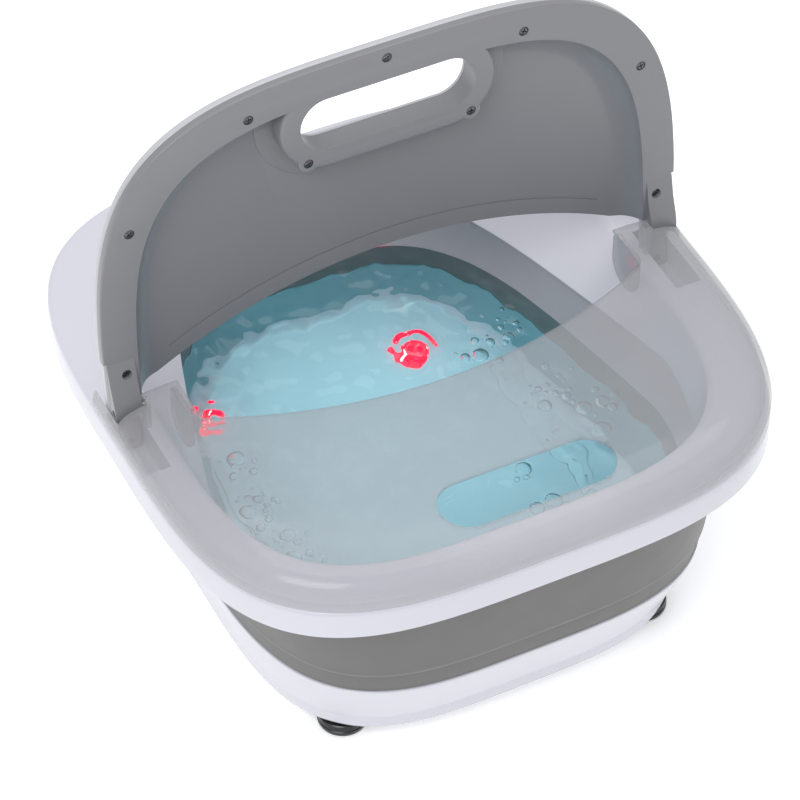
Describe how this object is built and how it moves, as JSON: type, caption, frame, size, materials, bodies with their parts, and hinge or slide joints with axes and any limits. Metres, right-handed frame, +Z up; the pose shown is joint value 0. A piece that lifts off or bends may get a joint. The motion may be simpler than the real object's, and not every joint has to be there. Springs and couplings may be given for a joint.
{
  "type": "foot spa basin",
  "caption": "Collapsible foot spa basin: rounded tub on feet with a folding silicone wall, clear front cover and handled lid hinged across the middle.",
  "frame": {"origin": "on the floor, under the middle of the basin, with the basin unfolded and the lid upright", "axes": "+Z up; -Y towards the user, the end under the clear cover; +X to the user's right; the lid's hinge axis is along X"},
  "size_m": [0.4, 0.416, 0.3968],
  "materials": {
    "white_plastic": "glossy moulded ABS",
    "silicone": "satin silicone rubber",
    "foot_rubber": "smooth black rubber",
    "dark_plastic": "matte",
    "black_plastic": "glossy",
    "button_grey": "satin",
    "steel": "plain zinc-plated steel",
    "heater_aluminium": "cast",
    "tube": "translucent silicone tube",
    "circuit_board": "solder mask",
    "red_lens": "clear red, lit",
    "smoky_clear": "smoky transparent",
    "lid_grey": "semi-gloss grey",
    "lid_back_grey": "semi-gloss light grey"
  },
  "bodies": {
    "base": {"base_shell": "white_plastic", "wet_liner": "white_plastic", "bottom_cover": "white_plastic", "front_left_foot": "foot_rubber", "front_right_foot": "foot_rubber", "rear_left_foot": "foot_rubber", "rear_right_foot": "foot_rubber", "base_screw_1": "steel", "base_screw_2": "steel", "base_screw_3": "steel", "base_screw_4": "steel", "blower_housing": "dark_plastic", "blower_cover": "dark_plastic", "blower_motor": "steel", "air_tube": "tube", "left_air_strip": "white_plastic", "right_air_strip": "white_plastic", "left_lamp_lens": "red_lens", "left_led_board": "circuit_board", "right_lamp_lens": "red_lens", "right_led_board": "circuit_board", "heater_plate": "heater_aluminium", "thermostat": "black_plastic", "control_panel_bezel": "dark_plastic", "display_window": "black_plastic", "control_board": "circuit_board", "cord_gland": "foot_rubber", "bellows": "silicone"},
    "impeller": {"blower_impeller": "dark_plastic"},
    "heat_key": {"heat_button": "button_grey"},
    "bubble_key": {"bubble_button": "button_grey"},
    "power_key": {"power_button": "button_grey"},
    "rim_ring": {"rim": "white_plastic", "bellows_clamp_ring": "dark_plastic"},
    "cover": {"front_cover": "smoky_clear", "left_hinge_pin": "steel", "right_hinge_pin": "steel"},
    "lid": {"lid_front_shell": "lid_grey", "lid_back_shell": "lid_back_grey", "lid_screw_1": "steel", "lid_screw_2": "steel", "lid_screw_3": "steel", "lid_screw_4": "steel", "lid_screw_5": "steel", "lid_screw_6": "steel", "lid_screw_7": "steel", "lid_screw_8": "steel", "lid_screw_9": "steel", "lid_screw_10": "steel", "lid_screw_11": "steel"}
  },
  "joints": [
    {"name": "rim_collapse", "type": "slide", "parent": "base", "child": "rim_ring", "axis": [0, 0, 1], "range_m": [-0.066, 0], "deforming": ["bellows"]},
    {"name": "cover_lift", "type": "slide", "parent": "rim_ring", "child": "cover", "axis": [0, 0, 1], "range_m": [0, 0.12]},
    {"name": "lid_hinge", "type": "hinge", "parent": "cover", "child": "lid", "pos_m": [0, 0.0034, 0.1931], "axis": [1, 0, 0], "range_deg": [-86, 4.3]},
    {"name": "impeller_spin", "type": "hinge", "parent": "base", "child": "impeller", "pos_m": [-0.06, 0.07, 0.02], "axis": [0, 0, 1], "continuous": true},
    {"name": "heat_press", "type": "slide", "parent": "base", "child": "heat_key", "axis": [0, -0.9743, 0.2254], "range_m": [0, 0.0012], "stiffness_N_per_m": 400},
    {"name": "bubble_press", "type": "slide", "parent": "base", "child": "bubble_key", "axis": [0, -0.9743, 0.2254], "range_m": [0, 0.0012], "stiffness_N_per_m": 400},
    {"name": "power_press", "type": "slide", "parent": "base", "child": "power_key", "axis": [0, -0.9743, 0.2254], "range_m": [0, 0.0012], "stiffness_N_per_m": 400}
  ]
}
